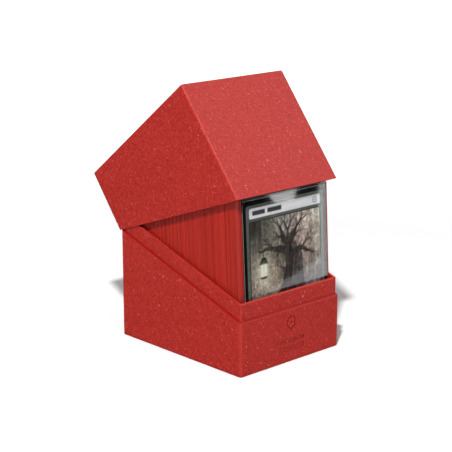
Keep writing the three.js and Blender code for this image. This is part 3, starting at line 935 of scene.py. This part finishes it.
# fine print texture
ink *= np.exp(0.05 * field(0.45, 0.45))[..., None]
ink = np.clip(ink, 0.002, 0.95)


def picture(x, z):
    """Colour of the print at a place on the card, averaged over a vertex's share of it."""
    i = np.clip(np.round((x - PX0) / STEP).astype(int), 1, len(GX) - 2)
    j = np.clip(np.round((z - PZ0) / STEP).astype(int), 1, len(GZ) - 2)
    c = 0
    for di, dj, w in ((0, 0, 4), (1, 0, 2), (-1, 0, 2), (0, 1, 2), (0, -1, 2), (1, 1, 1), (-1, -1, 1), (1, -1, 1), (-1, 1, 1)):
        c = c + ink[j + dj, i + di] * (w / 16)
    return c


# the card: a fine net on the printed face, plain stock on the rest
CARD_Y0, CARD_Y1, CARD_R = 0.2, 0.5, 3.0
NX, NZ = 211, 294
xs, zs = np.linspace(-1, 1, NX), np.linspace(PZ0, PZ1, NZ)
near = np.clip(np.maximum(PZ0 + CARD_R - zs, zs - (PZ1 - CARD_R)), 0, CARD_R)
half = 31.5 - CARD_R + np.sqrt(CARD_R ** 2 - near ** 2)
CX = xs[None, :] * half[:, None]
CZ = np.repeat(zs[:, None], NX, axis=1)
verts = [front(x, CARD_Y0, z) for x, z in zip(CX.ravel().tolist(), CZ.ravel().tolist())]
colours = picture(CX.ravel(), CZ.ravel())
faces = [(j * NX + i, j * NX + i + 1, (j + 1) * NX + i + 1, (j + 1) * NX + i) for j in range(NZ - 1) for i in range(NX - 1)]
fmats = [0] * len(faces)
loop = [i for i in range(NX)] + [j * NX + NX - 1 for j in range(1, NZ)] + [(NZ - 1) * NX + i for i in range(NX - 2, -1, -1)] + [j * NX for j in range(NZ - 2, 0, -1)]
b0 = len(verts)
verts += [front(float(CX.ravel()[k]), CARD_Y1, float(CZ.ravel()[k])) for k in loop]
colours = np.vstack([colours, np.full((len(loop), 3), 0.5)])
n = len(loop)
for i in range(n):
    j = (i + 1) % n
    faces.append((loop[j], loop[i], b0 + i, b0 + j))
    fmats.append(1)
faces.append(tuple(b0 + i for i in reversed(range(n))))
fmats.append(1)
card = new_object("printed_card", verts, faces, mats=[MAT_PRINT, MAT_CORE], face_mats=fmats, smooth=False)
layer = card.data.color_attributes.new("picture", "FLOAT_COLOR", "POINT")
layer.data.foreach_set("color", np.hstack([colours, np.ones((len(colours), 1))]).astype(np.float32).ravel())
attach(card, "deck")
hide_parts("front_card")

# ------------------------------------------------------------------ floor, surroundings and light
KEY_SHARE, SKY_SHARE = 1.0, 0.385


def stage_mesh(name, verts, faces, mat):
    mesh = bpy.data.meshes.new(name)
    mesh.from_pydata([tuple(v) for v in verts], [], faces)
    mesh.materials.append(mat)
    o = bpy.data.objects.new(name, mesh)
    scene.collection.objects.link(o)
    o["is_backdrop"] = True
    return o


m, nt, b = material("floor_white")
b.inputs["Base Color"].default_value = (0.95, 0.95, 0.95, 1)
b.inputs["Roughness"].default_value = 0.9
b.inputs["Specular IOR Level"].default_value = 0.0
# the floor near the object takes light and shadow, and far off it goes over into the white of the studio
tc = node(nt, "ShaderNodeTexCoord")
far = node(nt, "ShaderNodeVectorMath", operation="LENGTH")
nt.links.new(tc.outputs["Object"], far.inputs[0])
glow = node(nt, "ShaderNodeEmission", {"Color": (1, 1, 1, 1), "Strength": 1.4})
both = node(nt, "ShaderNodeMixShader")
nt.links.new(ramp(nt, far.outputs["Value"], 0.27, 0.50), both.inputs[0])
nt.links.new(b.outputs[0], both.inputs[1])
nt.links.new(glow.outputs[0], both.inputs[2])
nt.links.new(both.outputs[0], next(n for n in nt.nodes if n.type == "OUTPUT_MATERIAL").inputs["Surface"])
floor = stage_mesh("floor", [(-40, -40, 0), (40, -40, 0), (40, 40, 0), (-40, 40, 0)], [(0, 1, 2, 3)], m)
floor.visible_glossy = False


def glowing(name, strength):
    m = bpy.data.materials.new(name)
    m.use_nodes = True
    nt = m.node_tree
    nt.nodes.clear()
    e = node(nt, "ShaderNodeEmission", {"Color": (1, 1, 1, 1), "Strength": strength})
    out = node(nt, "ShaderNodeOutputMaterial")
    nt.links.new(e.outputs[0], out.inputs["Surface"])
    return m


# a white studio wall all round, seen by the camera only
steps = 48
ring = [(6 * math.cos(2 * math.pi * i / steps), 6 * math.sin(2 * math.pi * i / steps)) for i in range(steps)]
wall = stage_mesh("studio_wall", [(x, y, z) for z in (-0.5, 4.5) for x, y in ring] + [(0, 0, 5.5)],
                  [(i, (i + 1) % steps, (i + 1) % steps + steps, i + steps) for i in range(steps)] + [(i + steps, (i + 1) % steps + steps, 2 * steps) for i in range(steps)],
                  glowing("studio_white", 1.1))
wall.visible_diffuse = wall.visible_glossy = wall.visible_transmission = wall.visible_volume_scatter = wall.visible_shadow = False

world = bpy.data.worlds.new("world")
scene.world = world
world.use_nodes = True
nt = world.node_tree
bg = nt.nodes["Background"]
tc = node(nt, "ShaderNodeTexCoord")
up = node(nt, "ShaderNodeSeparateXYZ", {"Vector": tc.outputs["Generated"]}).outputs[2]
nt.links.new(ramp(nt, up, -0.03, 0.03, 0.0, SKY_SHARE), bg.inputs["Strength"])
bg.inputs["Color"].default_value = (1, 1, 1, 1)

# the key: a small lamp a metre off, up to the left of the camera, as strong near as far
key_data = bpy.data.lights.new("key", "POINT")
key_data.energy = KEY_SHARE * math.pi * 4 * math.pi
key_data.shadow_soft_size = 0.030
key_data.use_nodes = True
nt = key_data.node_tree
fall = node(nt, "ShaderNodeLightFalloff", {"Strength": 1.0})
nt.links.new(fall.outputs["Constant"], next(n for n in nt.nodes if n.type == "EMISSION").inputs["Strength"])
key = bpy.data.objects.new("key", key_data)
key.location = (-0.505, -0.418, 0.812)
scene.collection.objects.link(key)


def reflector(name, points, strength):
    """A bright card that only glossy surfaces see."""
    o = stage_mesh(name, points, [tuple(range(len(points)))], glowing(name + "_light", strength))
    o.visible_camera = o.visible_diffuse = o.visible_transmission = o.visible_volume_scatter = o.visible_shadow = False
    return o


# what the clear film in front of the card mirrors towards the camera: for each patch of the film, the card that fills it
PLANE_P = Vector(front(0, 0, 0)) * MM
PLANE_N = Vector((0, -1, LEAN)).normalized()
CAM_MIRROR = CAM - 2 * (CAM - PLANE_P).dot(PLANE_N) * PLANE_N


def mirrored(patch, dist):
    centre = Vector(front(0, 0, 60)) * MM
    axis = (centre - CAM_MIRROR).normalized()
    at = centre + axis * dist
    pts = []
    for x, z in patch:
        p = Vector(front(x, 0, z)) * MM
        d = (p - CAM_MIRROR).normalized()
        pts.append(p + d * ((at - p).dot(axis) / d.dot(axis)))
    return pts


reflector("film_strip", mirrored([(26.3, -6), (40, -6), (40, 110), (26.3, 110)], 0.30), 1.65)
reflector("film_foot", mirrored([(-15.5, 39.0), (-11.8, 40.2), (6.1, 43.2), (20.5, 47.6), (26.3, 50.4), (26.3, 20), (-15.5, 20)], 0.31), 0.80)
reflector("film_head", mirrored([(-13.8, 91.5), (9.8, 91.0), (6.3, 84.7), (-7.7, 85.4)], 0.30), 2.6)

# a large pale panel high on the right, whose sheen lies on the lid's front
def big_panel(name, direction, dist, size, strength):
    v = Vector(direction).normalized()
    q = v.to_track_quat("Z", "Y")
    c = Vector((0, 0, 0.1)) + v * dist
    s = size / 2
    return reflector(name, [c + q @ Vector(p) for p in ((-s, -s, 0), (s, -s, 0), (s, s, 0), (-s, s, 0))], strength)


big_panel("sheen", (0.6625, -0.4153, 0.6234), 1.5, 1.8, 1.95)

lo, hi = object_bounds()
